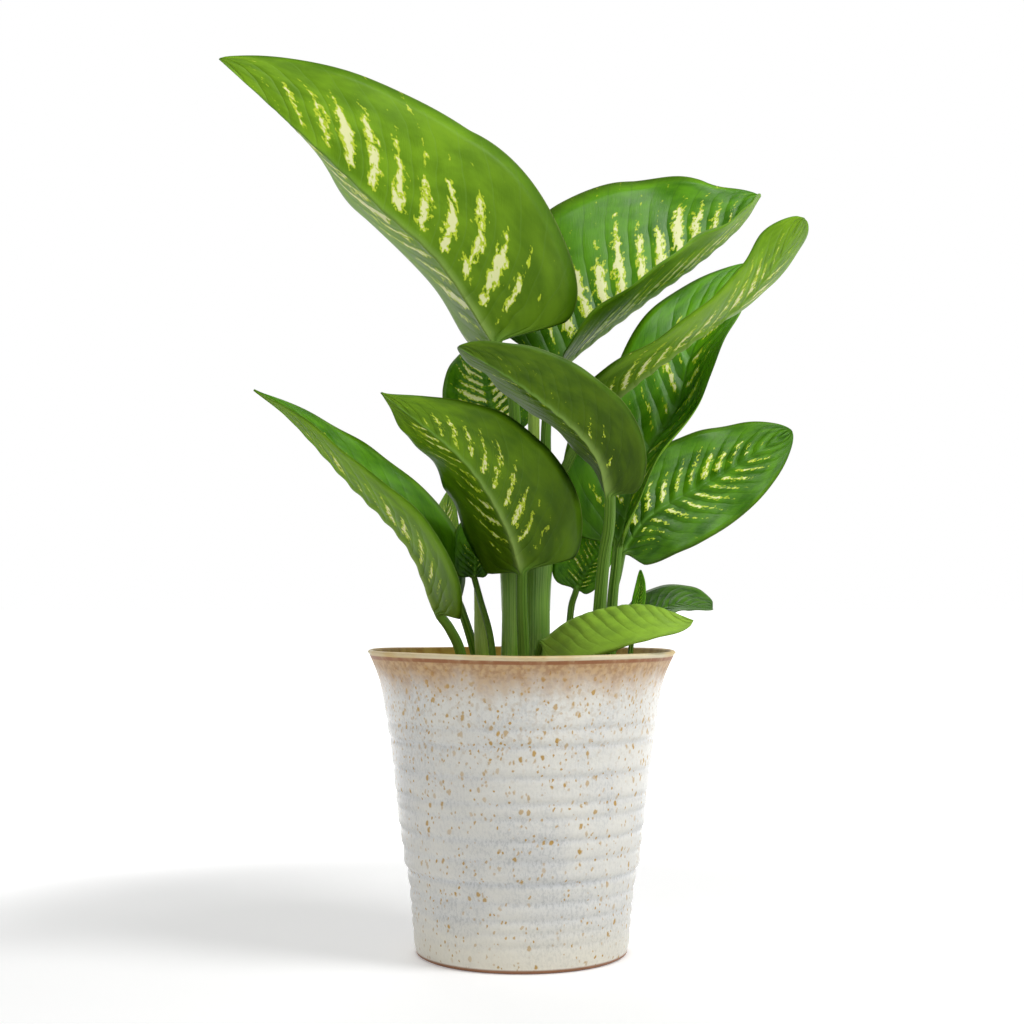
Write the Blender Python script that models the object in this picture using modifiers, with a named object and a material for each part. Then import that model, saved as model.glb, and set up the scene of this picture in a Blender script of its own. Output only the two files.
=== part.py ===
"""Potted dieffenbachia: a turned stoneware pot, its soil, two main canes and the leaves that rise from them.

Metres, +Z up. The origin is the centre of the pot's flat base, which stands on the floor.
"""
import math

import bmesh
import bpy
from mathutils import Vector

# Driving dimensions, in metres.
POT_HEIGHT = 0.1455
RIM_RADIUS = 0.0749
FOOT_RADIUS = 0.0510
FLOOR_THICK = 0.0070
FLOOR_RADIUS = 0.0465
SOIL_TOP = 0.1180
SOIL_RADIUS_TOP = 0.0620
GAP = 0.0003
TURN_STEPS = 40
BLADE_HALF_THICK = 0.0006
STALK_RINGS = 6
MM = 0.001

for old in list(bpy.data.objects):
    bpy.data.objects.remove(old, do_unlink=True)

scene = bpy.context.scene
parts = bpy.data.collections.new("potted_dieffenbachia")
scene.collection.children.link(parts)


def material(name, colour, roughness):
    made = bpy.data.materials.new(name)
    made.use_nodes = True
    shader = made.node_tree.nodes["Principled BSDF"]
    shader.inputs["Base Color"].default_value = (*colour, 1.0)
    shader.inputs["Roughness"].default_value = roughness
    shader.inputs["Metallic"].default_value = 0.0
    return made


def add(name, mesh, look):
    made = bpy.data.objects.new(name, mesh)
    mesh.materials.append(look)
    parts.objects.link(made)
    return made


def turned(name, profile, look):
    """A profile of (radius, height) in mm, run over the top and down the outside, turned round Z."""
    mesh = bpy.data.meshes.new(name)
    points = [(radius * MM, 0.0, height * MM) for radius, height in profile]
    edges = [(i, i + 1) for i in range(len(points) - 1)]
    mesh.from_pydata(points, edges, [])
    made = add(name, mesh, look)
    screw = made.modifiers.new("Turn", "SCREW")
    screw.axis = "Z"
    screw.steps = TURN_STEPS
    screw.render_steps = TURN_STEPS
    screw.use_merge_vertices = True
    screw.merge_threshold = 0.00001
    screw.use_smooth_shade = True
    return made


# Pot: thrown stoneware, waisted low down where the wall steps in, with a flared lip.
WALL_OUT = [(74.9, 145.5), (72.3, 140.0), (69.6, 134.0), (66.6, 118.0), (63.2, 94.0)]
WALL_OUT += [(59.7, 64.0), (56.1, 42.0), (54.3, 35.0), (53.0, 22.0), (51.8, 3.0)]
WALL_IN = [(SOIL_RADIUS_TOP / MM, 118.0), (66.0, 134.0), (69.0, 140.0), (72.2, 145.0)]
glaze = material("glazed_stoneware", (0.80, 0.78, 0.72), 0.3)
pot_profile = [(0.0, FLOOR_THICK / MM), (FLOOR_RADIUS / MM, FLOOR_THICK / MM)]
pot_profile += WALL_IN + WALL_OUT + [(FOOT_RADIUS / MM, 0.0), (0.0, 0.0)]
turned("pot", pot_profile, glaze)

# Soil: fills the pot to a little under the lip, clear of the wall by the touching gap.
gap = GAP / MM
soil_profile = [
    (0.0, SOIL_TOP / MM),
    (SOIL_RADIUS_TOP / MM - gap, SOIL_TOP / MM),
    (FLOOR_RADIUS / MM - gap, FLOOR_THICK / MM + gap),
    (0.0, FLOOR_THICK / MM + gap),
]
turned("soil", soil_profile, material("potting_soil", (0.035, 0.022, 0.014), 0.95))


def resample(points, count):
    """Points at equal steps along a smooth curve that runs through the given points."""
    knots = [Vector(point) for point in points]
    ends = [knots[0] * 2 - knots[1]] + knots + [knots[-1] * 2 - knots[-2]]
    fine = []
    for i in range(len(knots) - 1):
        a, b, c, d = ends[i : i + 4]
        for k in range(24):
            t = k / 24
            bend = (a * 2 - b * 5 + c * 4 - d) * t * t + (b * 3 - a - c * 3 + d) * t**3
            fine.append((b * 2 + (c - a) * t + bend) * 0.5)
    fine.append(knots[-1])
    run = [0.0]
    for i in range(1, len(fine)):
        run.append(run[-1] + (fine[i] - fine[i - 1]).length)
    made = []
    at = 0
    for k in range(count):
        want = run[-1] * k / (count - 1)
        while at < len(run) - 2 and run[at + 1] < want:
            at += 1
        share = (want - run[at]) / max(run[at + 1] - run[at], 1e-9)
        made.append(fine[at].lerp(fine[at + 1], min(share, 1.0)))
    return made


def blend(directions, s):
    """A direction that goes evenly from the first of the given ones to the last."""
    if len(directions) == 1:
        return Vector(directions[0])
    place = s * (len(directions) - 1)
    at = min(int(place), len(directions) - 2)
    return Vector(directions[at]).lerp(Vector(directions[at + 1]), place - at)


def outline(s, round_base, sharp_tip):
    """Half-width of a blade as a share of its widest, 0 at the base and at the tip."""
    widest = round_base / (round_base + sharp_tip)
    s = min(max(s, 0.0), 1.0)
    return (s / widest) ** round_base * ((1 - s) / (1 - widest)) ** sharp_tip


# One ring of a leaf: seven points over the upper face, seven back along the underside with its rib.
UPPER = [1.0, 0.7, 0.35, 0.0, -0.35, -0.7, -1.0]
UNDER = [-0.7, -0.35, "left", 0.0, "right", 0.35, 0.7]
RING = len(UPPER) + len(UNDER)


def ring_angle(j):
    if j < len(UPPER):
        return math.pi * j / (len(UPPER) - 1)
    return math.pi * (1 + (j - len(UPPER) + 1) / (len(UNDER) + 1))


def tube_grid(rings):
    """A closed cylinder cut into rings, with the ring and the point number of each vertex."""
    bm = bmesh.new()
    bmesh.ops.create_cone(
        bm, cap_ends=True, segments=RING, radius1=1.0, radius2=1.0, depth=1.0
    )
    upright = [e for e in bm.edges if abs(e.verts[0].co.z - e.verts[1].co.z) > 0.5]
    bmesh.ops.subdivide_edges(bm, edges=upright, cuts=rings - 2, use_grid_fill=True)
    numbered = []
    for vert in bm.verts:
        i = round((vert.co.z + 0.5) * (rings - 1))
        turn = math.atan2(vert.co.y, vert.co.x) / (2 * math.pi)
        numbered.append((vert, i, round(turn * RING) % RING))
    return bm, numbered


def finished(name, bm, look):
    bmesh.ops.recalc_face_normals(bm, faces=bm.faces)
    if bm.calc_volume(signed=True) < 0:
        bmesh.ops.reverse_faces(bm, faces=bm.faces)
    mesh = bpy.data.meshes.new(name)
    bm.to_mesh(mesh)
    bm.free()
    mesh.shade_smooth()
    return add(name, mesh, look)


def side_frame(tangent, right, left):
    """The two half-blade directions square to the rib, and each half's upper-face normal."""
    right = (right - tangent * right.dot(tangent)).normalized()
    left = (left - tangent * left.dot(tangent)).normalized()
    return right, left, right.cross(tangent).normalized(), tangent.cross(left).normalized()


def leaf(name, look, stalk, rib, right, left, width, radius, shape=(0.5, 0.85),
         sweep=(-0.4, 0.25), curl=(0.1, 0.1), rings=14):
    """A leaf in one piece: a round stalk that flattens into a blade with a raised rib below.

    stalk and rib are points in mm, from the foot to the blade and from the blade's base to its tip.
    right and left say which way each half spreads from the rib, at the base, middle and tip.
    """
    stem = resample(list(stalk) + [rib[0]], STALK_RINGS)
    line = stem[:-1] + resample(rib, rings)
    count = len(line)
    neck = len(stem) - 1
    bm, numbered = tube_grid(count)
    spots = []
    for i in range(count):
        tangent = (line[min(i + 1, count - 1)] - line[max(i - 1, 0)]).normalized()
        s = max(0.0, (i - neck) / (count - 1 - neck))
        to_right, to_left, up_right, up_left = side_frame(
            tangent, blend(right, s), blend(left, s)
        )
        across = (to_right - to_left).normalized()
        across = (across - tangent * across.dot(tangent)).normalized()
        face = across.cross(tangent)
        stalk_r = radius[0] + (radius[1] - radius[0]) * min(i / neck, 1.0)
        rib_r = max(0.25, radius[1] * (1 - s) ** 1.3)
        opened = min(s / 0.07, 1.0) if i > neck else 0.0
        opened = opened * opened * (3 - 2 * opened)
        slant = sweep[0] * (1 - s) ** 2 + sweep[1] * s * s
        thick = BLADE_HALF_THICK / MM * (1.0 - 0.35 * s)
        ring = []
        for j in range(RING):
            angle = ring_angle(j)
            ride = across * math.cos(angle) + face * math.sin(angle)
            tube = line[i] + ride * max(stalk_r if i <= neck else rib_r, 0.3)
            upper = j < len(UPPER)
            u = UPPER[j] if upper else UNDER[j - len(UPPER)]
            if u == "left":
                side, reach, u = 1, rib_r * 1.1, -0.1
            elif u == "right":
                side, reach, u = 0, rib_r * 1.1, 0.1
            else:
                side = 0 if u >= 0 else 1
                reach = abs(u) * (0.5 + width[side] * outline(s, *shape))
            spread = to_right if side == 0 else to_left
            up = up_right if side == 0 else up_left
            if u == 0.0:
                up = face
            share = abs(u)
            flat = line[i] + spread * reach + tangent * (reach * slant)
            flat += up * (reach * share * curl[side])
            lift = 0.0 if share == 1.0 else thick
            if not upper:
                lift = -lift
                if u == 0.0:
                    lift -= rib_r * 0.9
            ring.append(tube.lerp(flat + up * lift, opened))
        spots.append(ring)
    floor = line[0].z
    for vert, i, j in numbered:
        spot = spots[i][j]
        if i == 0:
            spot = Vector((spot.x, spot.y, floor))
        vert.co = spot * MM
    return finished(name, bm, look)


def cane(name, look, path, radii, rings=7):
    """A round stem along points in mm, cut level at its foot, with a level or pointed top."""
    line = resample(path, rings)
    bm, numbered = tube_grid(rings)
    for vert, i, j in numbered:
        share = i / (rings - 1)
        tangent = (line[min(i + 1, rings - 1)] - line[max(i - 1, 0)]).normalized()
        across = Vector((1, 0, 0))
        across = (across - tangent * across.dot(tangent)).normalized()
        face = tangent.cross(across)
        thick = blend([(radius, 0, 0) for radius in radii], share).x
        angle = 2 * math.pi * j / RING
        spot = line[i] + (across * math.cos(angle) + face * math.sin(angle)) * thick
        if i in (0, rings - 1):
            spot.z = line[i].z
        vert.co = spot * MM
    return finished(name, bm, look)


foot = SOIL_TOP / MM + gap
seat_left = 208.0
seat_right = 214.0

cane_green = material("cane_green", (0.20, 0.38, 0.07), 0.4)
pale_green = material("pale_shoot_green", (0.45, 0.60, 0.12), 0.4)
upper_green = material("leaf_green", (0.06, 0.25, 0.02), 0.3)
under_green = material("leaf_green_underside", (0.13, 0.32, 0.05), 0.4)

# The two main canes carry the tall leaves, and flare where the leaf sheaths part.
cane("cane_left", cane_green, [(-5, 2, foot), (-4.5, 2, 160), (-5, 6, seat_left)], (6.0, 5.5, 7.0))
cane("cane_right", cane_green, [(8, 2, foot), (8, 2, 170), (10, -1, seat_right)], (6.6, 6.2, 7.5))
cane("cane_side", pale_green, [(-17, 5, foot), (-19, 5, 150), (-23, 6, 182)], (4.6, 4.4, 0.8))
cane(
    "new_leaf_spear",
    pale_green,
    [(6, 1.5, seat_right + gap), (6, 1, 262), (6.5, 1, 280), (9, 1, 292)],
    (2.8, 3.0, 2.9, 0.4),
    9,
)

leaf(
    "leaf_tall_left", under_green,
    stalk=[(-4, 2.5, seat_left + gap), (-3, -1, 240), (-4, -4, 268), (-8, -6, 283)],
    rib=[(-12, -8, 294), (-39, -24, 332), (-65, -38, 354), (-94, -54, 379), (-137, -75, 415)],
    right=[(-0.2, 0.93, -0.15), (-0.13, 0.95, -0.07), (0.1, 0.95, 0.25)],
    left=[(0.75, 0.15, 0.5), (0.7, 0.15, 0.65)],
    width=(54, 61), radius=(3.1, 2.6), shape=(0.42, 0.9), sweep=(-0.6, 0.2), rings=18,
)
leaf(
    "leaf_upper_right", upper_green,
    stalk=[(13, 2.5, seat_right + gap), (12, 5, 250), (14, 8, 272)],
    rib=[(17, 10, 284), (32, 18, 298), (67, 36, 326), (93, 48, 346), (116, 58, 367), (128, 66, 385)],
    right=[(0.0, -0.97, 0.1)],
    left=[(-0.5, 0.3, 0.8), (-0.25, 0.25, 0.95), (0.0, 0.3, 0.9)],
    width=(40, 66), radius=(2.9, 2.3), shape=(0.5, 0.8), rings=17,
)
leaf(
    "leaf_front_sickle", under_green,
    stalk=[(35, -10, foot), (37, -15, 160), (39, -26, 190), (41, -36, 206)],
    rib=[(41, -43, 218), (36, -50, 235), (23, -60, 250), (-3, -80, 268), (-28, -98, 281)],
    right=[(-0.15, 0.95, -0.2)], left=[(0.6, -0.4, 0.6)],
    width=(26, 24), radius=(3.6, 2.6), shape=(0.5, 0.8),
)
leaf(
    "leaf_front_centre", under_green,
    stalk=[(2, -13, foot), (1, -16, 145), (0, -20, 169)],
    rib=[(0, -24, 183), (-6, -34, 202), (-17, -50, 222), (-31, -67, 238), (-61, -105, 260)],
    right=[(-0.6, 0.7, -0.3), (-0.25, 0.9, -0.3), (-0.5, 0.8, -0.3)],
    left=[(0.85, 0.2, 0.3), (0.75, 0.3, 0.55)],
    width=(33, 38), radius=(3.2, 2.6), shape=(0.36, 1.2), rings=16,
)
leaf(
    "leaf_long_right", under_green,
    stalk=[(12, -5, seat_right + gap), (17, -8, 226), (28, -14, 248)],
    rib=[(37, -18, 262), (61, -26, 280), (97, -34, 305), (114, -40, 321), (131, -50, 348)],
    right=[(-0.35, -0.9, 0.15), (-0.1, -0.98, 0.05), (-0.45, -0.7, 0.3)],
    left=[(0.05, 0.95, -0.1), (0.0, 0.97, 0.0), (0.4, 0.8, -0.3)],
    width=(36, 36), radius=(2.6, 2.5), shape=(0.45, 0.6), sweep=(-0.7, 0.1), rings=16,
)
leaf(
    "leaf_broad_right", upper_green,
    stalk=[(42, -3, foot), (44, -2, 165), (46, -1, 185)],
    rib=[(47, 0, 195), (59, 12, 237), (78, 24, 266), (90, 36, 302), (120, 62, 348)],
    right=[(0.3, -0.8, -0.1), (0.5, -0.7, -0.2), (0.9, -0.2, -0.3)],
    left=[(-0.9, 0.1, 0.3), (-0.8, 0.1, 0.5)],
    width=(30, 38), radius=(3.2, 2.4), shape=(0.5, 0.9), curl=(0.4, 0.1), rings=17,
)
leaf(
    "leaf_back_right", upper_green,
    stalk=[(40, 14, foot), (44, 14, 165), (48, 14, 183)],
    rib=[(50, 14, 193), (62, 18, 210), (77, 24, 220), (102, 34, 234), (141, 50, 258)],
    right=[(0.45, -0.1, -0.8)], left=[(-0.45, 0.3, 0.8)],
    width=(25, 28), radius=(2.4, 2.0), shape=(0.5, 0.75),
)
leaf(
    "leaf_low_left", under_green,
    stalk=[(-25, -8, foot), (-29, -14, 144), (-34, -18, 156)],
    rib=[(-39, -20, 163), (-53, -31, 196), (-81, -44, 226), (-106, -57, 253), (-122, -64, 266)],
    right=[(0.45, 0.76, 0.4)], left=[(0.35, -0.9, 0.05), (0.3, -0.92, 0.2)],
    width=(32, 32), radius=(3.2, 2.4), shape=(0.5, 1.2), rings=15,
)
leaf(
    "leaf_young_left", pale_green,
    stalk=[(-19, 15, foot), (-23, 14, 143), (-29, 12, 163)],
    rib=[(-33, 12, 173), (-37, 13, 190), (-38, 16, 208), (-36, 22, 226)],
    right=[(0.9, 0.2, 0.1)], left=[(-0.9, 0.2, -0.1)],
    width=(8, 8), radius=(2.7, 2.0), rings=10,
)
leaf(
    "leaf_inner_left", upper_green,
    stalk=[(-12, -6, foot), (-15, -7, 151), (-20, -7, 170)],
    rib=[(-23, -6, 181), (-22, -4, 197), (-18, 0, 207), (-14, 4, 219)],
    right=[(0.85, -0.2, -0.2)], left=[(-0.85, -0.2, 0.2)],
    width=(9, 12), radius=(1.9, 1.5), rings=10,
)
leaf(
    "leaf_back_centre", upper_green,
    stalk=[(-5.5, 10.5, seat_left + gap), (-5, 15, 228), (-6, 19, 245)],
    rib=[(-8, 22, 253), (-14, 27, 265), (-18, 36, 282), (-21, 50, 304)],
    right=[(0.9, -0.1, -0.1)], left=[(-0.9, -0.1, -0.1)],
    width=(21, 24), radius=(2.0, 1.8), rings=12,
)
leaf(
    "leaf_inner_right", upper_green,
    stalk=[(22, 8, foot), (24, 7, 162)],
    rib=[(27, 6, 175), (33, 8, 186), (39, 11, 195), (42, 15, 206)],
    right=[(0.85, -0.2, -0.4)], left=[(-0.85, -0.1, 0.2)],
    width=(9, 17), radius=(2.1, 1.6), rings=10,
)
leaf(
    "leaf_over_rim", under_green,
    stalk=[(9, -9, foot), (7, -13, 139)],
    rib=[(9, -18, 150), (23, -28, 161), (41, -34, 167), (60, -38, 168), (80, -38, 161)],
    right=[(0.2, -0.5, -0.8), (0.0, -0.5, -0.85)], left=[(-0.1, 0.8, -0.2)],
    width=(25, 11), radius=(2.2, 1.7), shape=(0.5, 0.7), rings=12,
)
leaf(
    "leaf_rim_back", upper_green,
    stalk=[(39, 26, foot), (44, 25, 140)],
    rib=[(52, 26, 152), (65, 28, 162), (80, 30, 168), (97, 30, 166)],
    right=[(0.1, -0.8, -0.3)], left=[(-0.2, 0.8, 0.5)],
    width=(13, 17), radius=(2.0, 1.6), shape=(0.5, 0.5), rings=11,
)
leaf(
    "sprout_right", upper_green,
    stalk=[(52, 9, foot), (54, 10, 145)],
    rib=[(56, 10, 160), (58, 10, 170), (59, 10, 178), (59, 10, 185)],
    right=[(0.9, -0.1, -0.1)], left=[(-0.9, -0.1, 0.1)],
    width=(3, 3), radius=(1.5, 1.2), rings=7,
)
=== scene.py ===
"""Looks for the potted dieffenbachia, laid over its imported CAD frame.

The scene is in metres, +Z up. The pieces' own sizes are written in millimetres.
"""
import math

import bmesh
import bpy
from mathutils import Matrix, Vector, noise


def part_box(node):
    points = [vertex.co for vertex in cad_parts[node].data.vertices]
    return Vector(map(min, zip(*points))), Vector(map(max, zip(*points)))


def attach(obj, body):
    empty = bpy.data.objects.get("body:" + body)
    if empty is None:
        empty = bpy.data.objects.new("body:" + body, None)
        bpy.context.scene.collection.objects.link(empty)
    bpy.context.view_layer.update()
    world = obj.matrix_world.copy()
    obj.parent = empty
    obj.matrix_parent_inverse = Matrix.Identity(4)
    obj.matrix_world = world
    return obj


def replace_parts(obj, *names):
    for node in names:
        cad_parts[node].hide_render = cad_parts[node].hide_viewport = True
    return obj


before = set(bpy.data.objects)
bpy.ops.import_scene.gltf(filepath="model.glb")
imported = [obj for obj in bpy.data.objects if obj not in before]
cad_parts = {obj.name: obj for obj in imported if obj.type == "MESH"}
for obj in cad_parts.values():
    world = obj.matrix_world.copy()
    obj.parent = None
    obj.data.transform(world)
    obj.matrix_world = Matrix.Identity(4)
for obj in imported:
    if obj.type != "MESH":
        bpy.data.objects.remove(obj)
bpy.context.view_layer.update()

# Camera: level with the leaves just above the pot's lip, and tilted up a little.
camera = bpy.data.objects.new("camera", bpy.data.cameras.new("camera"))
camera.data.lens = 60
camera.data.sensor_width = 36
camera.location = (-0.0047, -0.8366, 0.1765)
camera.rotation_euler = (math.radians(92.52), 0, 0)
bpy.context.collection.objects.link(camera)
bpy.context.scene.camera = camera
bpy.context.scene.view_settings.view_transform = "Standard"

# Pot: a thrown stoneware cachepot with finger rings, a step low in the wall and a lip that waves
# a little. Off-white glaze over a speckled body, sand-brown where it thins and rust at the lip.
# It is turned as one closed wall from its profile, inside and out.
MM = 0.001


def cage(rings, around):
    """A closed cylinder cut into rings, with the ring and point number of every vertex."""
    bm = bmesh.new()
    bmesh.ops.create_cone(
        bm, cap_ends=True, segments=around, radius1=1.0, radius2=1.0, depth=1.0
    )
    upright = [e for e in bm.edges if abs(e.verts[0].co.z - e.verts[1].co.z) > 0.5]
    bmesh.ops.subdivide_edges(bm, edges=upright, cuts=rings - 2, use_grid_fill=True)
    bm.verts.index_update()
    numbered = []
    for vert in bm.verts:
        i = round((vert.co.z + 0.5) * (rings - 1))
        turn = math.atan2(vert.co.y, vert.co.x) / (2 * math.pi)
        numbered.append((vert, i, round(turn * around) % around))
    return bm, numbered


def finished(name, bm, look, facts):
    """The mesh as an object on the root body, with one vector attribute for each entry of facts."""
    bmesh.ops.recalc_face_normals(bm, faces=bm.faces)
    if bm.calc_volume(signed=True) < 0:
        bmesh.ops.reverse_faces(bm, faces=bm.faces)
    bm.verts.index_update()
    order = [vert.index for vert in bm.verts]
    mesh = bpy.data.meshes.new(name)
    bm.to_mesh(mesh)
    bm.free()
    for label, values in facts.items():
        layer = mesh.attributes.new(label, "FLOAT_VECTOR", "POINT")
        flat = [number for index in order for number in values[index]]
        layer.data.foreach_set("vector", flat)
    mesh.materials.append(look)
    mesh.shade_smooth()
    made = bpy.data.objects.new(name, mesh)
    bpy.context.collection.objects.link(made)
    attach(made, "root")
    return made


class Nodes:
    """A material's node tree, with short calls for the nodes used below."""

    def __init__(self, name):
        self.material = bpy.data.materials.new(name)
        self.material.use_nodes = True
        self.tree = self.material.node_tree
        self.shader = self.tree.nodes["Principled BSDF"]

    def put(self, socket, value):
        if isinstance(value, bpy.types.NodeSocket):
            self.tree.links.new(value, socket)
        elif isinstance(value, tuple):
            socket.default_value = (*value, 1.0)
        else:
            socket.default_value = value

    def m(self, operation, a, b=0.0):
        """One step of arithmetic."""
        node = self.tree.nodes.new("ShaderNodeMath")
        node.operation = operation
        self.put(node.inputs[0], a)
        self.put(node.inputs[1], b)
        return node.outputs[0]

    def ramp(self, value, low, high, out_low=0.0, out_high=1.0):
        """A soft step from one number to another as value goes from low to high."""
        node = self.tree.nodes.new("ShaderNodeMapRange")
        node.interpolation_type = "SMOOTHSTEP"
        self.put(node.inputs["Value"], value)
        self.put(node.inputs["From Min"], low)
        self.put(node.inputs["From Max"], high)
        self.put(node.inputs["To Min"], out_low)
        self.put(node.inputs["To Max"], out_high)
        return node.outputs["Result"]

    def mix(self, share, a, b, how="MIX"):
        node = self.tree.nodes.new("ShaderNodeMix")
        node.data_type = "RGBA"
        node.blend_type = how
        self.put(node.inputs[0], share)
        self.put(node.inputs[6], a)
        self.put(node.inputs[7], b)
        return node.outputs[2]

    def vector(self, x, y, z):
        node = self.tree.nodes.new("ShaderNodeCombineXYZ")
        self.put(node.inputs[0], x)
        self.put(node.inputs[1], y)
        self.put(node.inputs[2], z)
        return node.outputs[0]

    def split(self, value):
        node = self.tree.nodes.new("ShaderNodeSeparateXYZ")
        self.put(node.inputs[0], value)
        return node.outputs[0], node.outputs[1], node.outputs[2]

    def noise(self, at, scale, detail=3.0, rough=0.5):
        node = self.tree.nodes.new("ShaderNodeTexNoise")
        self.put(node.inputs["Vector"], at)
        node.inputs["Scale"].default_value = scale
        node.inputs["Detail"].default_value = detail
        node.inputs["Roughness"].default_value = rough
        return node.outputs["Fac"]

    def cells(self, at, scale):
        node = self.tree.nodes.new("ShaderNodeTexVoronoi")
        self.put(node.inputs["Vector"], at)
        node.inputs["Scale"].default_value = scale
        return node.outputs["Distance"], node.outputs["Color"]

    def attribute(self, label):
        node = self.tree.nodes.new("ShaderNodeAttribute")
        node.attribute_name = label
        return self.split(node.outputs["Vector"])

    def object_place(self):
        return self.tree.nodes.new("ShaderNodeTexCoord").outputs["Object"]

    def done(self, colour, rough, height, depth):
        """The finished material: colour, roughness, and relief of the given depth in metres."""
        self.put(self.shader.inputs["Base Color"], colour)
        self.put(self.shader.inputs["Roughness"], rough)
        bump = self.tree.nodes.new("ShaderNodeBump")
        bump.inputs["Distance"].default_value = depth
        bump.inputs["Strength"].default_value = 1.0
        self.put(bump.inputs["Height"], height)
        self.put(self.shader.inputs["Normal"], bump.outputs[0])
        return self.material


n = Nodes("speckled_glaze")
place = n.object_place()
px, py, pz = n.split(place)
inside, groove, lip = n.attribute("pot_zone")
cloud = n.noise(place, 28.0, 5.0)
mottle = n.noise(place, 420.0, 3.0)
streaky = n.noise(n.vector(px, py, n.m("MULTIPLY", pz, 0.35)), 160.0, 4.0)
white = n.mix(n.ramp(cloud, 0.35, 0.7), (0.80, 0.785, 0.72), (0.70, 0.70, 0.675))
# Painted shade in the finger rings: the glaze turns bluish grey where the wall dips in.
white = n.mix(n.m("MULTIPLY", groove, 0.5), white, (0.60, 0.64, 0.70))
# Fine grey grain in cloudy patches, and more of it in the finger rings, where it adds to the
# painted shade.
grain = n.noise(n.vector(px, py, n.m("MULTIPLY", pz, 0.55)), 900.0, 3.0, 0.7)
veil = n.m("ADD", n.m("MULTIPLY", groove, 0.5), n.ramp(cloud, 0.4, 0.65, 0.15, 0.6))
white = n.mix(n.m("MULTIPLY", n.ramp(grain, 0.46, 0.62), veil), white, (0.50, 0.51, 0.50))
low = n.ramp(pz, 0.004, 0.030, 0.35, 0.0)
white = n.mix(low, white, (0.88, 0.80, 0.58))
upper = n.ramp(pz, 0.06, 0.135)
tan = n.ramp(n.m("ADD", mottle, n.m("MULTIPLY", upper, 0.10)), 0.60, 0.74)
toasted = n.m("MULTIPLY", tan, n.m("ADD", 0.12, n.m("MULTIPLY", upper, 0.30)))
white = n.mix(toasted, white, (0.55, 0.47, 0.36))
# Ochre flecks in three sizes, thicker towards the lip.
nudge = n.m("MULTIPLY", n.m("SUBTRACT", mottle, 0.5), 0.0025)
stretched = n.vector(n.m("ADD", px, nudge), py, n.m("MULTIPLY", n.m("ADD", pz, nudge), 0.7))
ochre = (0.50, 0.29, 0.04)
colour = white
for scale, rarity, size in ((300.0, 0.78, 0.36), (560.0, 0.72, 0.38), (190.0, 0.88, 0.24)):
    near, tint = n.cells(stretched, scale)
    pick, strength, _ = n.split(tint)
    wanted = n.m("ADD", pick, n.m("MULTIPLY", upper, 0.22))
    chosen = n.ramp(wanted, rarity, rarity + 0.03)
    spot = n.m("MULTIPLY", chosen, n.ramp(near, size, size * 0.55))
    colour = n.mix(n.m("MULTIPLY", spot, n.ramp(strength, 0.0, 1.0, 0.45, 0.95)), colour, ochre)
# A sand-brown band, a cream lip with a rust line, an amber inside and a bare clay foot.
band_noise = n.m("MULTIPLY", n.m("SUBTRACT", streaky, 0.5), 0.014)
band = n.ramp(n.m("ADD", pz, band_noise), 0.1220, 0.1420)
sand = n.mix(n.ramp(mottle, 0.35, 0.65), (0.42, 0.21, 0.06), (0.60, 0.38, 0.17))
colour = n.mix(n.m("MULTIPLY", band, 0.92), colour, sand)
line = n.m("MULTIPLY", n.ramp(lip, 0.25, 0.45), n.ramp(lip, 0.95, 0.8))
cream = n.mix(n.ramp(cloud, 0.4, 0.65), (0.82, 0.73, 0.50), (0.68, 0.48, 0.18))
colour = n.mix(n.ramp(lip, 0.6, 0.95), colour, cream)
rust = n.m("MULTIPLY", line, n.ramp(streaky, 0.3, 0.55, 0.55, 0.95))
colour = n.mix(rust, colour, (0.30, 0.105, 0.03))
amber = n.mix(n.ramp(streaky, 0.35, 0.65), (0.52, 0.27, 0.02), (0.72, 0.46, 0.08))
colour = n.mix(inside, colour, amber)
bare = n.ramp(pz, 0.0024, 0.0014)
colour = n.mix(bare, colour, (0.30, 0.13, 0.055))
rough = n.ramp(n.m("ADD", band, bare), 0.2, 1.0, 0.24, 0.50)
pitted = n.m("ADD", n.m("MULTIPLY", mottle, 0.5), cloud)
glaze = n.done(colour, rough, pitted, 0.0005)

# Heights of the finger rings with their depths, and the wall's outline as heights with radii.
FINGER_RINGS = [(112, 0.35), (104, 0.55), (90, 0.45), (78, 0.45), (71, 0.35), (61, 0.5)]
FINGER_RINGS += [(51.5, 0.4), (41, 0.9), (32, 0.4), (24, 0.45), (18, 0.35), (12, 0.35)]
WALL = [(0, 50.6), (3, 51.8), (22, 53.0), (35, 54.3), (42, 56.1), (64, 59.7), (94, 63.2)]
WALL += [(118, 66.6), (128, 68.2), (134, 69.8), (140, 72.3), (145.6, 75.0)]
INNER_FLOOR = 7.2
LIP_FOOT = 144.0
LIP_MIDDLE = 73.4
LIP_ROUND = 1.5
WALL_TOP, WALL_FOOT, WALL_STEPS = 143.6, 0.8, 219
POT_AROUND = 144


def wall_radius(z):
    """Radius of the plain wall in mm at a height in mm."""
    for (z0, r0), (z1, r1) in zip(WALL, WALL[1:]):
        if z <= z1:
            t = (z - z0) / (z1 - z0)
            return r0 + (r1 - r0) * t
    return WALL[-1][1]


def outside(z):
    """Outer radius in mm at a height in mm, and how deep in a throwing ring it is."""
    near = [min(max(z + step, 0), WALL[-1][0]) for step in (-3, -1.5, 0, 1.5, 3)]
    smooth = sum(wall_radius(height) for height in near) / len(near)
    ring = sum(d * math.exp(-(((z - at) / 1.5) ** 2)) for at, d in FINGER_RINGS)
    swell = sum(0.5 * d * math.exp(-(((z - at - 3.6) / 2.4) ** 2)) for at, d in FINGER_RINGS)
    return smooth - ring + swell, ring


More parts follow.
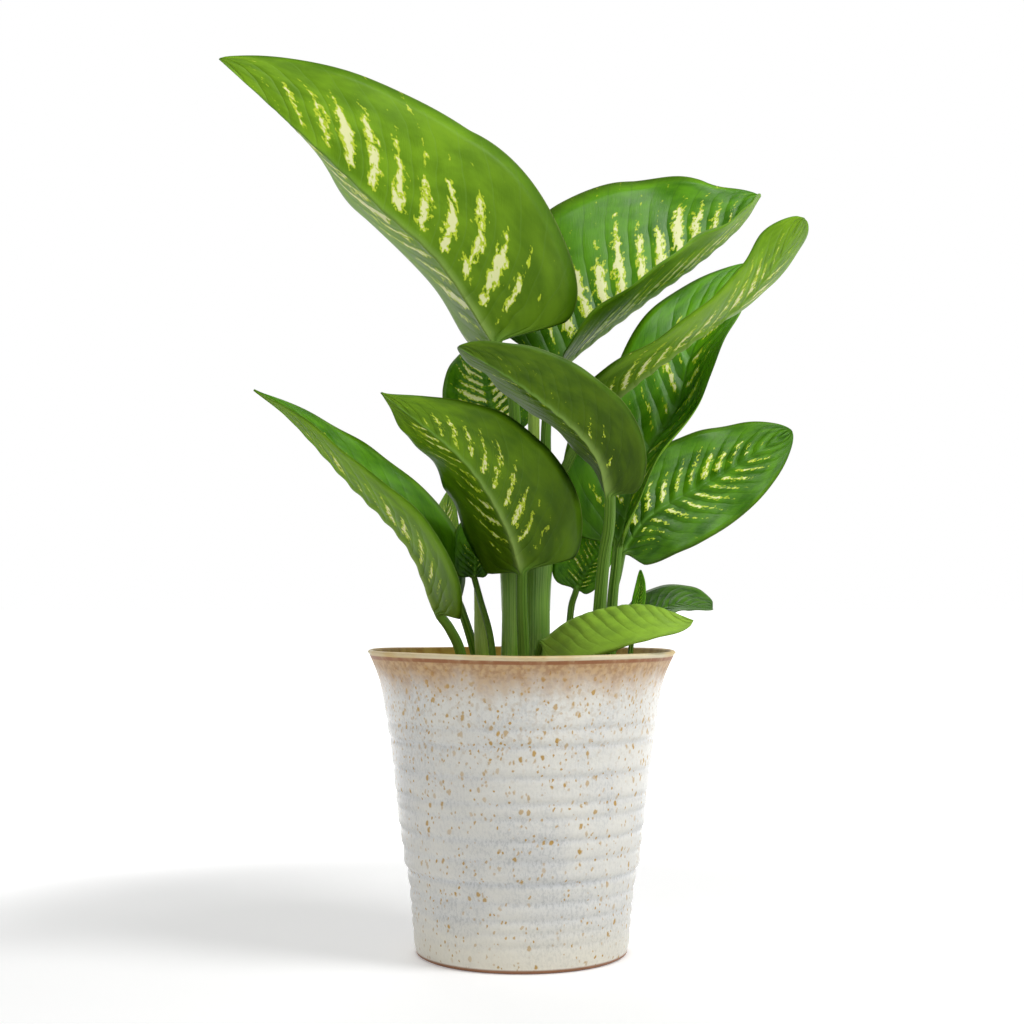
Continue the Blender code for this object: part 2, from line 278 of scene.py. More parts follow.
# Each ring of the pot: radius, height, how far inside, how deep in a finger ring, how near the lip.
pot_path = [(0.4, INNER_FLOOR, 1.0, 0.0, 0.0), (46.0, INNER_FLOOR, 1.0, 0.0, 0.0)]
for k in range(1, 40):
    z = INNER_FLOOR + (LIP_FOOT - INNER_FLOOR) * k / 39
    inner = 46.5 + 15.5 * min((z - 7) / 111, 1.0) + max(0.0, z - 118) ** 1.35 * 0.125
    pot_path.append((min(inner, 72.0), z, 1.0, 0.0, 0.0))
for k in range(1, 9):
    turn = math.pi * k / 9
    r = LIP_MIDDLE - LIP_ROUND * math.cos(turn)
    z = LIP_FOOT + LIP_ROUND * math.sin(turn)
    pot_path.append((r, z, 1.0 - k / 8, 0.0, 1.0 if k > 2 else k / 3))
for k in range(WALL_STEPS + 1):
    z = WALL_TOP * (1 - k / WALL_STEPS) + WALL_FOOT * k / WALL_STEPS
    r, depth = outside(z)
    pot_path.append((r, z, 0.0, min(depth, 1.0), max(0.0, 1.0 - k / 5)))
pot_path += [(49.8, 0.1, 0.0, 0.0, 0.0), (0.4, 0.0, 0.0, 0.0, 0.0)]
bm, numbered = cage(len(pot_path), POT_AROUND)
zones = {}
for vert, i, j in numbered:
    r, z, is_inside, depth, is_lip = pot_path[i]
    a = 2 * math.pi * j / POT_AROUND
    high = max(0.0, (z - 95) / 50) ** 2
    wave = 0.3 - 0.5 * math.sin(a + 0.4) + 0.3 * math.sin(2 * a + 1.2) + 0.15 * math.sin(5 * a)
    wander = 0.25 * math.sin(2 * a + z * 0.05) + 0.12 * math.sin(5 * a - z * 0.11)
    r += wander if r > 40 else 0.0
    vert.co = Vector((r * math.cos(a), r * math.sin(a), z + wave * high)) * MM
    zones[vert.index] = (is_inside, depth, is_lip)
pot = finished("stoneware_pot", bm, glaze, {"pot_zone": zones})
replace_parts(pot, "pot")

# Soil: dark peaty potting mix with pale fibres, which fills the pot. Its surface is crumbly and
# uneven, and it is heaped a little round the canes.
n = Nodes("potting_mix")
place = n.object_place()
grain, tint = n.cells(place, 520.0)
crumb = n.noise(place, 260.0, 5.0, 0.7)
colour = n.mix(n.ramp(crumb, 0.35, 0.7), (0.016, 0.010, 0.006), (0.085, 0.052, 0.030))
fibre, _, _ = n.split(tint)
colour = n.mix(n.ramp(fibre, 0.93, 0.97), colour, (0.30, 0.24, 0.16))
soil_look = n.done(colour, 0.95, n.m("ADD", crumb, n.m("MULTIPLY", grain, 0.8)), 0.002)
soil_path = [(0.4, 7.6), (30, 7.6), (45.8, 7.6), (54, 60), (61.0, 116.0)]
soil_path += [(61.0 - 60.6 * (k / 40), 117.6) for k in range(1, 41)]
SOIL_AROUND = 120
bm, numbered = cage(len(soil_path), SOIL_AROUND)
for vert, i, j in numbered:
    r, z = soil_path[i]
    a = 2 * math.pi * j / SOIL_AROUND
    x, y = r * math.cos(a), r * math.sin(a)
    if i > 4:
        spot = Vector((x * 0.11, y * 0.11, 3.0))
        z += 1.6 * noise.noise(spot) + 1.2 * noise.noise(spot * 3.1) + 0.7
        z += 1.2 * math.exp(-((r / 26) ** 2))
    vert.co = Vector((x, y, z)) * MM
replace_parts(finished("soil_fill", bm, soil_look, {}), "soil")

# Canes, the side sheath and the rolled new leaf: smooth green growth that stands in the soil,
# striped lengthwise and browner at the foot. Each is a tube along its path, with the overlapping
# edge of a sheath as a fine ridge.
n = Nodes("cane_skin")
turn_x, turn_y, high = n.attribute("cane_place")
pale, _, _ = n.attribute("cane_own")
turn_at = n.m("MULTIPLY", turn_x, 5.0), n.m("MULTIPLY", turn_y, 5.0)
drawn_out = n.vector(*turn_at, n.m("MULTIPLY", high, 0.9))
stripes = n.noise(drawn_out, 1.6, 4.0)
clouds = n.noise(n.object_place(), 60.0, 4.0)
green = n.mix(n.ramp(stripes, 0.35, 0.68), (0.115, 0.290, 0.012), (0.240, 0.440, 0.050))
young = n.mix(n.ramp(stripes, 0.3, 0.7), (0.27, 0.44, 0.035), (0.46, 0.60, 0.10))
colour = n.mix(pale, green, young)
colour = n.mix(n.ramp(clouds, 0.5, 0.8, 0.0, 0.4), colour, (0.26, 0.36, 0.10))
colour = n.mix(n.ramp(high, 0.30, 0.0, 0.0, 0.55), colour, (0.24, 0.22, 0.08))
cane_look = n.done(colour, n.ramp(stripes, 0.3, 0.7, 0.32, 0.46), stripes, 0.0006)


def resample(points, count):
    """Points at equal steps along a smooth curve that runs through the given points."""
    knots = [Vector(point) for point in points]
    ends = [knots[0] * 2 - knots[1]] + knots + [knots[-1] * 2 - knots[-2]]
    fine = []
    for i in range(len(knots) - 1):
        a, b, c, d = ends[i : i + 4]
        for k in range(60):
            t = k / 60
            bend = (a * 2 - b * 5 + c * 4 - d) * t * t + (b * 3 - a - c * 3 + d) * t**3
            fine.append((b * 2 + (c - a) * t + bend) * 0.5)
    fine.append(knots[-1])
    run = [0.0]
    for i in range(1, len(fine)):
        run.append(run[-1] + (fine[i] - fine[i - 1]).length)
    made = []
    at = 0
    for k in range(count):
        want = run[-1] * k / (count - 1)
        while at < len(run) - 2 and run[at + 1] < want:
            at += 1
        share = (want - run[at]) / max(run[at + 1] - run[at], 1e-9)
        made.append(fine[at].lerp(fine[at + 1], min(share, 1.0)))
    return made


def blend(values, s):
    """A direction or number that goes smoothly from the first of the given ones to the last."""
    if len(values) == 1:
        return Vector(values[0])
    place = min(max(s, 0.0), 1.0) * (len(values) - 1)
    at = min(int(place), len(values) - 2)
    t = place - at
    return Vector(values[at]).lerp(Vector(values[at + 1]), t * t * (3 - 2 * t) * 0.5 + t * 0.5)


def cane(node, path, radii, pale, rings=70, around=48):
    """A sheathed stem along a path in mm; pale is 1 for young, yellow-green growth."""
    line = resample(path, rings)
    bm, numbered = cage(rings, around)
    place, mine = {}, {}
    for vert, i, j in numbered:
        share = i / (rings - 1)
        tangent = (line[min(i + 1, rings - 1)] - line[max(i - 1, 0)]).normalized()
        way = Vector((1, 0, 0))
        way = (way - tangent * way.dot(tangent)).normalized()
        face = tangent.cross(way)
        a = 2 * math.pi * j / around
        thick = blend([(r, 0, 0) for r in radii], share).x
        turned = (a - 4.2 + share * 0.8) % (2 * math.pi)
        thick *= 1.0 - 0.05 * turned / (2 * math.pi) + 0.012 * math.sin(9 * a)
        spot = line[i] + (way * math.cos(a) + face * math.sin(a)) * thick
        if i in (0, rings - 1):
            spot.z = line[i].z
        vert.co = spot * MM
        place[vert.index] = (math.cos(a), math.sin(a), share)
        mine[vert.index] = (pale, 0.0, 0.0)
    made = finished(node + "_fine", bm, cane_look, {"cane_place": place, "cane_own": mine})
    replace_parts(made, node)


# Stems stand a hair above what they grow from: the soil, or the top of a cane.
GAP = 0.3
SOIL = round(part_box("soil")[1][2] / MM, 1) + GAP
ON_LEFT_CANE = round(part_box("cane_left")[1][2] / MM, 1) + GAP
ON_RIGHT_CANE = round(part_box("cane_right")[1][2] / MM, 1) + GAP
cane(
    "cane_left",
    [(-5, 2, SOIL), (-4.5, 2, 160), (-5, 6, 208)], (6.0, 5.5, 7.0), 0.15,
)
cane(
    "cane_right",
    [(8, 2, SOIL), (8, 2, 170), (10, -1, 214)], (6.6, 6.2, 7.5), 0.0,
)
cane(
    "cane_side",
    [(-17, 5, SOIL), (-19, 5, 150), (-23, 6, 182)], (4.6, 4.4, 0.8), 0.75,
)
cane(
    "new_leaf_spear",
    [(6, 1.5, ON_RIGHT_CANE), (6, 1, 262), (6.5, 1, 280), (9, 1, 292)], (2.8, 3.0, 2.9, 0.4), 0.7,
)

# Leaves: a channelled stalk that opens into a quilted, pointed blade, grown as one. Glossy deep
# green above, duller below, with a pale rib and broken cream-yellow streaks between the side
# veins. Each is one closed skin, and its attributes carry the place on the blade to the colours.
VEINS, VEIN_ARCH, VEIN_BEND = 13, 0.27, 1.15
n = Nodes("dieffenbachia_leaf")
across, along, under = n.attribute("leaf_place")
ribbed, stalky, _ = n.attribute("leaf_parts")
seed, streaks, painted_light = n.attribute("leaf_own")
# The side veins leave the rib and arch forward. phase counts them, and between is 0 midway.
u = n.m("ABSOLUTE", across)
wobble_at = n.vector(n.m("MULTIPLY", along, 5.0), n.m("MULTIPLY", across, 2.5), seed)
wobble = n.noise(wobble_at, 1.0, 2.0)
arch = n.m("MULTIPLY", n.m("POWER", u, VEIN_BEND), VEIN_ARCH)
vein = n.m("SUBTRACT", along, arch)
vein = n.m("ADD", vein, n.m("MULTIPLY", n.m("SUBTRACT", wobble, 0.5), 0.05))
phase = n.m("MULTIPLY", vein, float(VEINS))
saw = n.m("FRACT", n.m("ADD", phase, 40.0))
between = n.m("MULTIPLY", n.m("ABSOLUTE", n.m("SUBTRACT", saw, 0.5)), 2.0)
side_sign = n.m("MULTIPLY", n.m("SIGN", across), 7.0)


def vein_noise(along_veins, out, *settings):
    """Noise laid along the side veins, different on the two halves of a blade."""
    run = phase if along_veins == 1.0 else n.m("MULTIPLY", phase, along_veins)
    reach_out = n.m("ADD", n.m("MULTIPLY", u, out), side_sign)
    return n.noise(n.vector(run, reach_out, seed), *settings)


# Streaks lie between the veins, near the rib, and are broken up at three scales.
patch = vein_noise(1.0, 2.4, 0.95, 2.0)
ragged = vein_noise(2.2, 9.0, 1.4, 4.0, 0.65)
fleck = vein_noise(4.0, 15.0, 1.7, 3.0, 0.6)
reach = n.m("MULTIPLY", n.ramp(u, 0.03, 0.12), n.ramp(u, 0.85, 0.30))
length = n.m("MULTIPLY", n.ramp(along, 0.02, 0.16), n.ramp(along, 0.96, 0.70))
reach = n.m("MULTIPLY", reach, length)
value = n.m("MULTIPLY", n.m("SUBTRACT", 0.26, between), 1.9)
value = n.m("ADD", value, n.m("MULTIPLY", n.m("SUBTRACT", fleck, 0.5), 3.0))
value = n.m("ADD", value, n.m("MULTIPLY", n.m("SUBTRACT", patch, 0.5), 2.6))
value = n.m("ADD", value, n.m("MULTIPLY", n.m("SUBTRACT", ragged, 0.5), 3.4))
value = n.m("ADD", value, n.m("MULTIPLY", n.m("SUBTRACT", reach, 0.92), 1.5))
value = n.m("ADD", value, n.m("MULTIPLY", n.m("SUBTRACT", streaks, 0.5), 2.0))
yellow = n.m("MULTIPLY", n.ramp(value, 0.0, 0.07), n.m("SUBTRACT", 1.0, stalky))
core = n.m("MULTIPLY", n.ramp(value, 0.40, 0.62), yellow)
soft_at = n.vector(n.m("MULTIPLY", along, 9.0), n.m("MULTIPLY", across, 5.0), seed)
soft = n.noise(soft_at, 1.0, 4.0)
fine = n.noise(n.vector(n.m("MULTIPLY", phase, 9.0), n.m("MULTIPLY", u, 3.0), seed), 3.0, 3.0)
vein_line = n.ramp(between, 0.90, 1.0)
# Greens of the two faces, then painted shade towards the stalk and each leaf's painted light.
top = n.mix(n.ramp(soft, 0.3, 0.7), (0.040, 0.165, 0.001), (0.110, 0.330, 0.003))
top = n.mix(n.m("MULTIPLY", vein_line, 0.35), top, (0.030, 0.115, 0.003))
bottom = n.mix(n.ramp(soft, 0.3, 0.7), (0.105, 0.235, 0.003), (0.200, 0.390, 0.010))
bottom = n.mix(n.m("MULTIPLY", vein_line, 0.30), bottom, (0.19, 0.36, 0.05))
colour = n.mix(under, top, bottom)
colour = n.mix(n.ramp(fine, 0.35, 0.75, 0.0, 0.16), colour, (0.20, 0.40, 0.02))
# Painted light and shade: each leaf is lightened or darkened by how it is lit, and painted darker
# towards the stalk as shade.
painted_light_and_shade = n.m("MULTIPLY", painted_light, n.ramp(along, 0.0, 0.55, 0.62, 1.08))
colour = n.mix(1.0, colour, n.vector(painted_light_and_shade, painted_light_and_shade, painted_light_and_shade), "MULTIPLY")
# Leaves painted most strongly lit turn paler yellow-green: partly painted light, partly the paler
# tone of young leaves.
colour = n.mix(n.ramp(painted_light, 1.2, 2.0, 0.0, 0.75), colour, (0.28, 0.40, 0.075))
# Yellow-green streaks with cream hearts, then the rib, the stalk and the thin pale margin.
streak_colour = n.mix(core, (0.56, 0.70, 0.03), (0.92, 0.93, 0.50))
streak_colour = n.mix(n.m("MULTIPLY", under, 0.10), streak_colour, (0.50, 0.60, 0.12))
colour = n.mix(yellow, colour, streak_colour)
rib_top = n.mix(n.ramp(along, 0.0, 0.7), (0.13, 0.30, 0.03), (0.07, 0.22, 0.01))
rib_low = n.mix(n.ramp(along, 0.1, 0.9), (0.30, 0.44, 0.10), (0.17, 0.34, 0.05))
rib_colour = n.mix(under, rib_top, rib_low)
colour = n.mix(n.m("MULTIPLY", ribbed, 0.85), colour, rib_colour)
stripe_at = n.vector(n.m("MULTIPLY", across, 9.0), n.m("MULTIPLY", along, 1.2), seed)
stripe = n.noise(stripe_at, 1.0, 3.0)
stalk_colour = n.mix(n.ramp(stripe, 0.35, 0.7), (0.080, 0.200, 0.015), (0.190, 0.340, 0.045))
colour = n.mix(stalky, colour, stalk_colour)
edge = n.ramp(u, 0.985, 0.998)
edge = n.m("MULTIPLY", edge, n.m("SUBTRACT", 1.0, stalky))
colour = n.mix(n.m("MULTIPLY", edge, 0.5), colour, (0.30, 0.42, 0.10))
quilt = n.m("MULTIPLY", n.m("SUBTRACT", 1.0, n.m("POWER", between, 3.0)), n.ramp(u, 1.0, 0.1))
height = n.m("ADD", n.m("MULTIPLY", quilt, 0.8), n.m("MULTIPLY", fine, 0.12))
rough = n.m("ADD", n.m("MULTIPLY", under, 0.16), n.ramp(soft, 0.3, 0.7, 0.26, 0.38))
n.shader.inputs["Specular IOR Level"].default_value = 0.13
leaf_look = n.done(colour, rough, height, 0.0007)


def outline(s, round_base, sharp_tip):
    """The share of its greatest width that a blade has at s, from 0 at the base to 1 at the tip."""
    widest = round_base / (round_base + sharp_tip)
    s = min(max(s, 0.0), 1.0)
    return (s / widest) ** round_base * ((1 - s) / (1 - widest)) ** sharp_tip


# Places across the blade, from the right margin over the top and back along the underside.
HALF = 13
UPPER = [k / HALF for k in range(HALF, -HALF - 1, -1)]
UNDER = [k / HALF for k in range(-HALF + 1, HALF)]
RING = len(UPPER) + len(UNDER)
HALF_THICK = 0.42
QUILTING = 0.55


def leaf(
    node, stalk, rib, right, left, width, radius, own, shape=(0.5, 0.85),
    sweep=(-0.4, 0.25), curl=(0.1, 0.1), wave=0.9, dull=0.0, stem_rings=26, rings=110,
):
    """A leaf in one piece, over its CAD node.

    stalk and rib are points in mm. right and left say which way each half spreads, from the base
    to the tip, and width how far. own is the leaf's seed, how streaked it is and its painted light
    and shade, wave the height of its ripples, and dull is 1 where both faces look like an
    underside.
    """
    stem = resample(list(stalk) + [rib[0]], stem_rings)
    line = stem[:-1] + resample(rib, rings)
    count = len(line)
    neck = len(stem) - 1
    seed = own[0]
    bm, numbered = cage(count, RING)
    spots, places, extras = [], [], []
    for i in range(count):
        tangent = (line[min(i + 1, count - 1)] - line[max(i - 1, 0)]).normalized()
        s = max(0.0, (i - neck) / (count - 1 - neck))
        to_right, to_left = blend(right, s), blend(left, s)
        to_right = (to_right - tangent * to_right.dot(tangent)).normalized()
        to_left = (to_left - tangent * to_left.dot(tangent)).normalized()
        up_right = to_right.cross(tangent).normalized()
        up_left = tangent.cross(to_left).normalized()
        side_way = (to_right - to_left).normalized()
        side_way = (side_way - tangent * side_way.dot(tangent)).normalized()
        face = side_way.cross(tangent)
        stalk_r = radius[0] + (radius[1] - radius[0]) * min(i / neck, 1.0)
        rib_r = max(0.22, radius[1] * (1 - s) ** 1.2)
        opened = min(s / 0.05, 1.0) if i > neck else 0.0
        opened = opened * opened * (3 - 2 * opened)
        slant = sweep[0] * (1 - s) ** 2 + sweep[1] * s * s
        thick = HALF_THICK * (1.0 - 0.4 * s)
        spots.append([])
        places.append([])
        extras.append([])
        for j in range(RING):
            upper = j < len(UPPER)
            raw = UPPER[j] if upper else UNDER[j - len(UPPER)]
            if upper:
                angle = math.pi * j / (len(UPPER) - 1)
            else:
                angle = math.pi * (1 + (j - len(UPPER) + 1) / (len(UNDER) + 1))
            channel = 1.0 - 0.22 * math.exp(-(((angle - math.pi / 2) / 0.45) ** 2))
            ride = side_way * math.cos(angle) + face * math.sin(angle) * channel
            tube = line[i] + ride * max(stalk_r if i <= neck else rib_r, 0.25)
            u = math.copysign(abs(raw) ** 1.55, raw)
            side = 0 if u >= 0 else 1
            full = 0.4 + width[side] * outline(s, *shape)
            reach = abs(u) * full
            spread = to_right if side == 0 else to_left
            up = up_right if side == 0 else up_left
            fold = math.exp(-((reach / 4.0) ** 2))
            up = up.lerp(face, fold).normalized()
            ripple = math.sin(s * 17 + seed * 2.1 + side * 1.9) + 0.6 * math.sin(s * 31 + seed)
            flat = line[i] + spread * reach + tangent * (reach * slant)
            flat += up * (reach * abs(u) * curl[side])
            flat += up * (wave * ripple * abs(u) ** 3 * min(full / 20, 1))
            vein = s - VEIN_ARCH * abs(u) ** VEIN_BEND
            swell = math.cos(2 * math.pi * vein * VEINS)
            swell *= math.exp(-(((abs(u) - 0.16) / 0.26) ** 2))
            flat -= up * (QUILTING * swell * min(full / 30, 1.0) * min(1.0, 4 * s * (1 - s)))
            lift = 0.0 if abs(u) > 0.999 else thick
            bump = math.exp(-((reach / max(rib_r * 0.85, 0.3)) ** 2))
            if upper:
                lift -= 0.35 * rib_r * math.exp(-((reach / max(rib_r * 0.55, 0.3)) ** 2))
            else:
                lift = -lift - rib_r * 0.95 * bump
            spots[-1].append(tube.lerp(flat + up * lift, opened))
            low_face = max(dull, 0.5) if abs(u) > 0.999 else (dull if upper else 1.0)
            places[-1].append((u, s, low_face))
            on_rib = bump if not upper else math.exp(-((reach / max(rib_r * 0.5, 0.3)) ** 2))
            extras[-1].append((on_rib, 1.0 - opened, 0.0))
    foot = line[0].z
    place, parts, mine = {}, {}, {}
    for vert, i, j in numbered:
        spot = spots[i][j]
        if i == 0:
            spot = Vector((spot.x, spot.y, foot))
        vert.co = spot * MM
        place[vert.index] = places[i][j]
        parts[vert.index] = extras[i][j]
        mine[vert.index] = own
    facts = {"leaf_place": place, "leaf_parts": parts, "leaf_own": mine}
    made = finished(node + "_fine", bm, leaf_look, facts)
    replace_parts(made, node)


# The last number of each leaf's own is its painted light: below 1 painted shade, above 1 painted
# light.
# The tall leaf that leans left and forward, seen from below: one half flat to the front, the
# other folded away behind the rib.
leaf(
    "leaf_tall_left",
    stalk=[(-4, 2.5, ON_LEFT_CANE), (-3, -1, 240), (-4, -4, 268), (-8, -6, 283)],
    rib=[(-12, -8, 294), (-39, -24, 332), (-65, -38, 354), (-94, -54, 379), (-137, -75, 415)],
    right=[(-0.2, 0.93, -0.15), (-0.13, 0.95, -0.07), (0.1, 0.95, 0.25)],
    left=[(0.75, 0.15, 0.5), (0.7, 0.15, 0.65)],
    width=(54, 61), radius=(3.1, 2.6), shape=(0.42, 0.9), sweep=(-0.6, 0.2), own=(1.0, 0.60, 0.98),
)
# The upper right leaf, top side to the front, a trough with its near wall standing.
leaf(
    "leaf_upper_right",
    stalk=[(13, 2.5, ON_RIGHT_CANE), (12, 5, 250), (14, 8, 272)],
    rib=[
        (17, 10, 284), (32, 18, 298), (67, 36, 326), (93, 48, 346), (116, 58, 367), (128, 66, 385),
    ],
    right=[(0.0, -0.97, 0.1)],
    left=[(-0.5, 0.3, 0.8), (-0.25, 0.25, 0.95), (0.0, 0.3, 0.9)],
    width=(40, 66), radius=(2.9, 2.3), shape=(0.5, 0.8), own=(2.3, 0.68, 1.05), wave=1.2,
)
# The narrow, dark sickle leaf that stands at the right and arches over the front.
leaf(
    "leaf_front_sickle",
    stalk=[(35, -10, SOIL), (37, -15, 160), (39, -26, 190), (41, -36, 206)],
    rib=[(41, -43, 218), (36, -50, 235), (23, -60, 250), (-3, -80, 268), (-28, -98, 281)],
    right=[(-0.15, 0.95, -0.2)], left=[(0.6, -0.4, 0.6)],
    width=(26, 24), radius=(3.6, 2.6), shape=(0.5, 0.8), own=(3.7, 0.05, 0.48),
)
# The dull, quilted leaf at the front centre, on a short stalk, seen from below.
leaf(
    "leaf_front_centre",
    stalk=[(2, -13, SOIL), (1, -16, 145), (0, -20, 169)],
    rib=[(0, -24, 183), (-6, -34, 202), (-17, -50, 222), (-31, -67, 238), (-61, -105, 260)],
    right=[(-0.6, 0.7, -0.3), (-0.25, 0.9, -0.3), (-0.5, 0.8, -0.3)],
    left=[(0.85, 0.2, 0.3), (0.75, 0.3, 0.55)],
    width=(33, 38), radius=(3.2, 2.6), shape=(0.36, 1.2), own=(4.9, 0.40, 0.72), wave=1.2,
)
# The long leaf at the right, seen nearly edge-on from below.
leaf(
    "leaf_long_right",
    stalk=[(12, -5, ON_RIGHT_CANE), (17, -8, 226), (28, -14, 248)],
    rib=[(37, -18, 262), (61, -26, 280), (97, -34, 305), (114, -40, 321), (131, -50, 348)],
    right=[(-0.35, -0.9, 0.15), (-0.1, -0.98, 0.05), (-0.45, -0.7, 0.3)],
    left=[(0.05, 0.95, -0.1), (0.0, 0.97, 0.0), (0.4, 0.8, -0.3)],
    width=(36, 36), radius=(2.6, 2.5), shape=(0.45, 0.6), sweep=(-0.7, 0.1), own=(5.4, 0.62, 1.05),
)
# The broad leaf behind it, top side to the front, its right margin curled back.
leaf(
    "leaf_broad_right",
    stalk=[(42, -3, SOIL), (44, -2, 165), (46, -1, 185)],
    rib=[(47, 0, 195), (59, 12, 237), (78, 24, 266), (90, 36, 302), (120, 62, 348)],
    right=[(0.3, -0.8, -0.1), (0.5, -0.7, -0.2), (0.9, -0.2, -0.3)],
    left=[(-0.9, 0.1, 0.3), (-0.8, 0.1, 0.5)],
    width=(30, 38), radius=(3.2, 2.4), shape=(0.5, 0.9), curl=(0.4, 0.1), own=(6.6, 0.36, 1.1),
)
# The dark leaf at the back right, top side to the front.
leaf(
    "leaf_back_right",
    stalk=[(40, 14, SOIL), (44, 14, 165), (48, 14, 183)],
    rib=[(50, 14, 193), (62, 18, 210), (77, 24, 220), (102, 34, 234), (141, 50, 258)],
    right=[(0.45, -0.1, -0.8)], left=[(-0.45, 0.3, 0.8)],
    width=(25, 28), radius=(2.4, 2.0), shape=(0.5, 0.75), own=(7.2, 0.42, 0.8),
)
# The low leaf at the left, folded along its rib.
leaf(
    "leaf_low_left",
    stalk=[(-25, -8, SOIL), (-29, -14, 144), (-34, -18, 156)],
    rib=[(-39, -20, 163), (-53, -31, 196), (-81, -44, 226), (-106, -57, 253), (-122, -64, 266)],
    right=[(0.45, 0.76, 0.4)], left=[(0.35, -0.9, 0.05), (0.3, -0.92, 0.2)],
    width=(32, 32), radius=(3.2, 2.4), shape=(0.5, 1.2), own=(8.1, 0.35, 0.95), wave=0.6,
)
# Young and small leaves round the canes, and those that lie over the lip.
leaf(
    "leaf_young_left",
    stalk=[(-19, 15, SOIL), (-23, 14, 143), (-29, 12, 163)],
    rib=[(-33, 12, 173), (-37, 13, 190), (-38, 16, 208), (-36, 22, 226)],
    right=[(0.9, 0.2, 0.1)], left=[(-0.9, 0.2, -0.1)],
    width=(8, 8), radius=(2.7, 2.0), own=(9.3, 0.75, 2.6), wave=0.3, rings=50,
)
leaf(
    "leaf_inner_left",
    stalk=[(-12, -6, SOIL), (-15, -7, 151), (-20, -7, 170)],
    rib=[(-23, -6, 181), (-22, -4, 197), (-18, 0, 207), (-14, 4, 219)],
    right=[(0.85, -0.2, -0.2)], left=[(-0.85, -0.2, 0.2)],
    width=(9, 12), radius=(1.9, 1.5), own=(10.7, 0.1, 0.7), wave=0.3, rings=50,
)
leaf(
    "leaf_back_centre",
    stalk=[(-5.5, 10.5, ON_LEFT_CANE), (-5, 15, 228), (-6, 19, 245)],
    rib=[(-8, 22, 253), (-14, 27, 265), (-18, 36, 282), (-21, 50, 304)],
    right=[(0.9, -0.1, -0.1)], left=[(-0.9, -0.1, -0.1)],
    width=(21, 24), radius=(2.0, 1.8), own=(11.9, 0.75, 0.85), wave=0.5, rings=70,
)
leaf(
    "leaf_inner_right",
    stalk=[(22, 8, SOIL), (24, 7, 162)],
    rib=[(27, 6, 175), (33, 8, 186), (39, 11, 195), (42, 15, 206)],
    right=[(0.85, -0.2, -0.4)], left=[(-0.85, -0.1, 0.2)],
    width=(9, 17), radius=(2.1, 1.6), own=(12.4, 0.35, 1.1), wave=0.4, rings=50,
)
leaf(
    "leaf_over_rim",
    stalk=[(9, -9, SOIL), (7, -13, 139)],
    rib=[(9, -18, 150), (23, -28, 161), (41, -34, 167), (60, -38, 168), (80, -38, 161)],
    right=[(0.2, -0.5, -0.8), (0.0, -0.5, -0.85)],
    left=[(-0.1, 0.8, -0.2)],
    width=(25, 11), radius=(2.2, 1.7), shape=(0.5, 0.7), own=(13.8, -0.3, 1.7), wave=0.5,
    dull=1.0, rings=60,
)
leaf(
    "leaf_rim_back",
    stalk=[(39, 26, SOIL), (44, 25, 140)],
    rib=[(52, 26, 152), (65, 28, 162), (80, 30, 168), (97, 30, 166)],
    right=[(0.1, -0.8, -0.3)], left=[(-0.2, 0.8, 0.5)],
    width=(13, 17), radius=(2.0, 1.6), shape=(0.5, 0.5), own=(14.2, -0.3, 0.6), wave=0.5, rings=50,
)
leaf(
    "sprout_right",
    stalk=[(52, 9, SOIL), (54, 10, 145)],
    rib=[(56, 10, 160), (58, 10, 170), (59, 10, 178), (59, 10, 185)],
    right=[(0.9, -0.1, -0.1)], left=[(-0.9, -0.1, 0.1)],
    width=(3, 3), radius=(1.5, 1.2), own=(15.6, 0.2, 1.1), wave=0.8, rings=40,
)

# Floor: a pale sweep that keeps the plant's own shadow near it and is plain white further off.
# What makes it white is seen by the camera and in reflections only, so it adds no light.
FLOOR_REACH = 12.0
floor_mesh = bpy.data.meshes.new("floor")
bm = bmesh.new()
bmesh.ops.create_grid(bm, x_segments=2, y_segments=2, size=FLOOR_REACH)
bm.to_mesh(floor_mesh)
bm.free()
floor = bpy.data.objects.new("floor", floor_mesh)
bpy.context.collection.objects.link(floor)
n = Nodes("floor_white")
fx, fy, _ = n.split(n.object_place())
far = n.m("SQRT", n.m("ADD", n.m("MULTIPLY", fx, fx), n.m("MULTIPLY", fy, fy)))
n.put(n.shader.inputs["Base Color"], (0.93, 0.93, 0.93))
n.put(n.shader.inputs["Roughness"], 1.0)
n.put(n.shader.inputs["Emission Color"], (1.0, 1.0, 1.0))
path = n.tree.nodes.new("ShaderNodeLightPath").outputs
seen = n.m("MAXIMUM", path["Is Camera Ray"], path["Is Glossy Ray"])
seen = n.m("MAXIMUM", seen, path["Is Transmission Ray"])
glow = n.m("MULTIPLY", seen, n.ramp(far, 0.25, 0.50, 0.24, 1.0))
n.put(n.shader.inputs["Emission Strength"], glow)
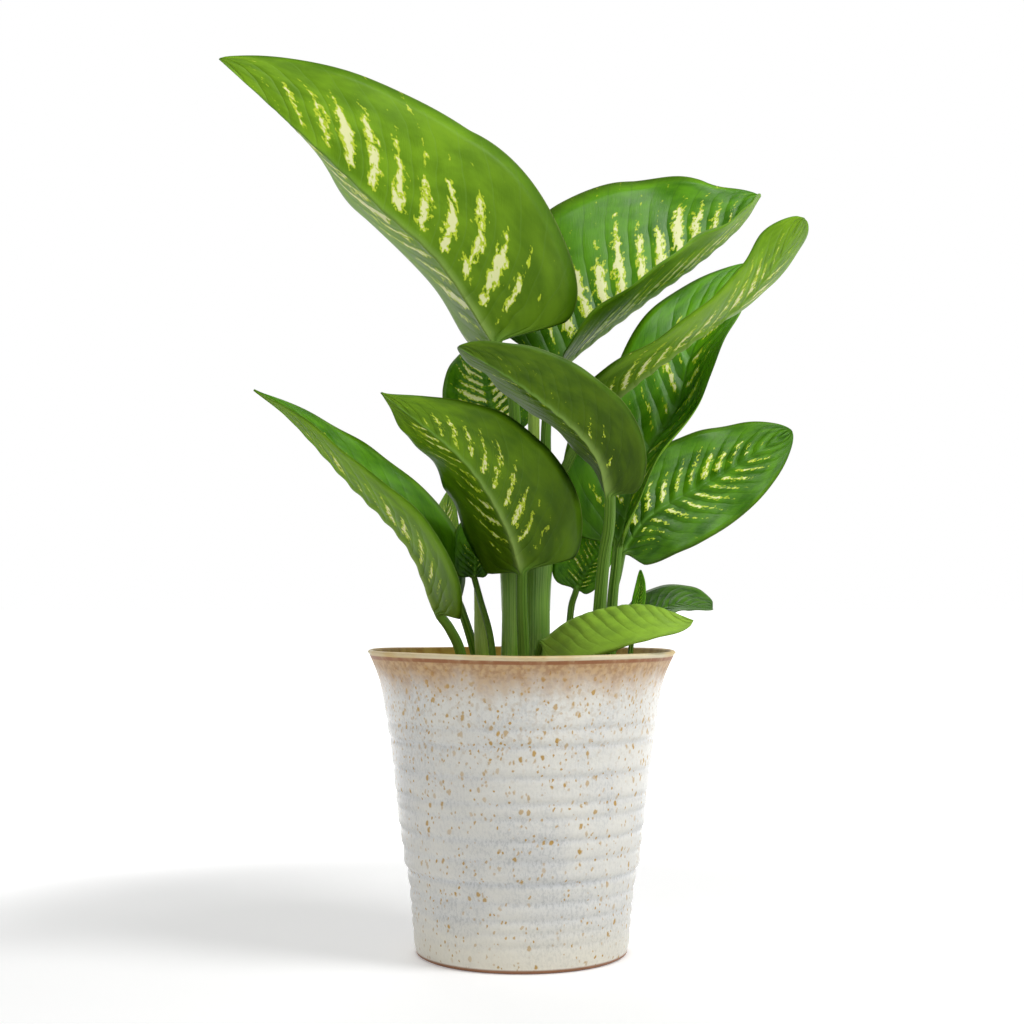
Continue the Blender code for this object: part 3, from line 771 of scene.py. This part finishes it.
floor_mesh.materials.append(n.material)

# Lights: a soft key from the right and above, a fill from the left and a lift from behind. The
# world is a weak soft sky, plain white to the camera and in reflections.
for name, place, aim, size, power in (
    ("key", (0.95, -0.5, 1.15), (0.0, 0.0, 0.22), 0.6, 12.5),
    ("fill", (-0.7, -1.2, 0.7), (0.0, 0.0, 0.2), 1.2, 3.4),
    ("back", (-0.2, 1.1, 1.1), (0.0, 0.0, 0.25), 1.0, 4.5),
):
    lamp = bpy.data.lights.new(name, "AREA")
    lamp.shape = "DISK"
    lamp.size = size
    lamp.energy = power
    held = bpy.data.objects.new(name, lamp)
    held.location = place
    held.rotation_euler = (Vector(aim) - Vector(place)).to_track_quat("-Z", "Y").to_euler()
    bpy.context.collection.objects.link(held)

world = bpy.data.worlds.new("studio")
bpy.context.scene.world = world
world.use_nodes = True
tree = world.node_tree
for node in list(tree.nodes):
    tree.nodes.remove(node)
seen = tree.nodes.new("ShaderNodeLightPath")
white_sky = tree.nodes.new("ShaderNodeBackground")
white_sky.inputs[1].default_value = 1.0
white_sky.inputs[0].default_value = (1, 1, 1, 1)
soft_sky = tree.nodes.new("ShaderNodeBackground")
soft_sky.inputs[0].default_value = (1, 1, 1, 1)
soft_sky.inputs[1].default_value = 0.30
choice = tree.nodes.new("ShaderNodeMixShader")
mirrored = tree.nodes.new("ShaderNodeMath")
mirrored.operation = "MAXIMUM"
clear = tree.nodes.new("ShaderNodeMath")
clear.operation = "MAXIMUM"
out = tree.nodes.new("ShaderNodeOutputWorld")
tree.links.new(seen.outputs["Is Camera Ray"], mirrored.inputs[0])
tree.links.new(seen.outputs["Is Glossy Ray"], mirrored.inputs[1])
tree.links.new(mirrored.outputs[0], clear.inputs[0])
tree.links.new(seen.outputs["Is Transmission Ray"], clear.inputs[1])
tree.links.new(clear.outputs[0], choice.inputs[0])
tree.links.new(soft_sky.outputs[0], choice.inputs[1])
tree.links.new(white_sky.outputs[0], choice.inputs[2])
tree.links.new(choice.outputs[0], out.inputs[0])
